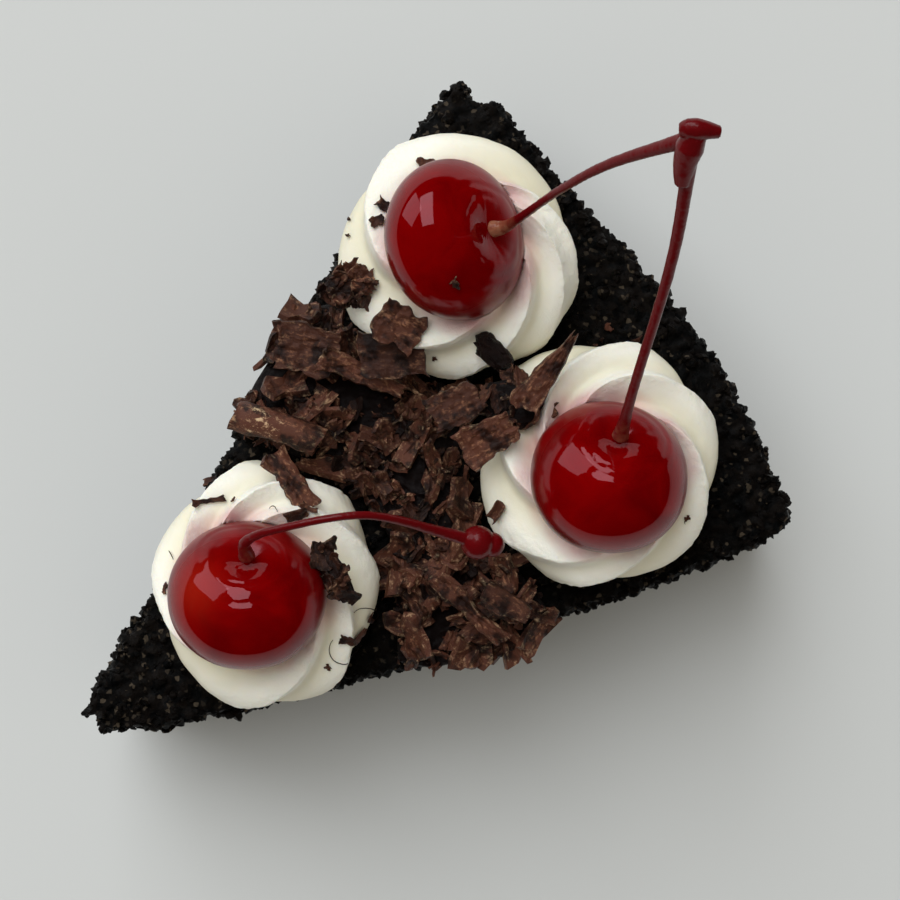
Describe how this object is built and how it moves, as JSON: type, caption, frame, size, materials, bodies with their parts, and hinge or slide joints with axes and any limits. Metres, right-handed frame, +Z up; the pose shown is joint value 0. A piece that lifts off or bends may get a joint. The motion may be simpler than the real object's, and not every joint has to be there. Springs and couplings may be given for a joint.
{
  "type": "black forest cake slice",
  "caption": "Wedge of dark chocolate sponge topped with piped cream swirls, glossy red cherries on stems and loose chocolate shavings.",
  "frame": {"origin": "middle of the part's box in plan, on the plane that the slice rests on", "axes": "+Z up; the slice's narrow point looks along -Y and its outer rim along +Y; +X is to the right seen from above with the point towards the viewer"},
  "size_m": [0.079, 0.1092, 0.0988],
  "materials": {
    "sponge_crumb": "rough crumb",
    "whipped_cream": "soft matt",
    "glace_cherry": "wet gloss",
    "cherry_stem": "satin",
    "dark_chocolate": "torn matt"
  },
  "bodies": {
    "root": {"sponge": "sponge_crumb", "cream_point": "whipped_cream", "cherry_point": "glace_cherry", "cream_left": "whipped_cream", "cherry_left": "glace_cherry", "cream_right": "whipped_cream", "cherry_right": "glace_cherry", "twin_stem": "cherry_stem", "single_stem": "cherry_stem", "shavings_heap": "dark_chocolate", "shaving_log": "dark_chocolate", "shaving_flake": "dark_chocolate", "shaving_sliver": "dark_chocolate", "shaving_plate": "dark_chocolate", "shaving_chip": "dark_chocolate", "shaving_stick": "dark_chocolate", "shaving_leaf": "dark_chocolate", "shaving_splint": "dark_chocolate", "shaving_curl": "dark_chocolate", "shaving_oval": "dark_chocolate", "shaving_spike": "dark_chocolate", "shaving_pale": "dark_chocolate", "shaving_chunk": "dark_chocolate", "shaving_nub": "dark_chocolate", "shaving_crumple": "dark_chocolate"}
  },
  "joints": []
}
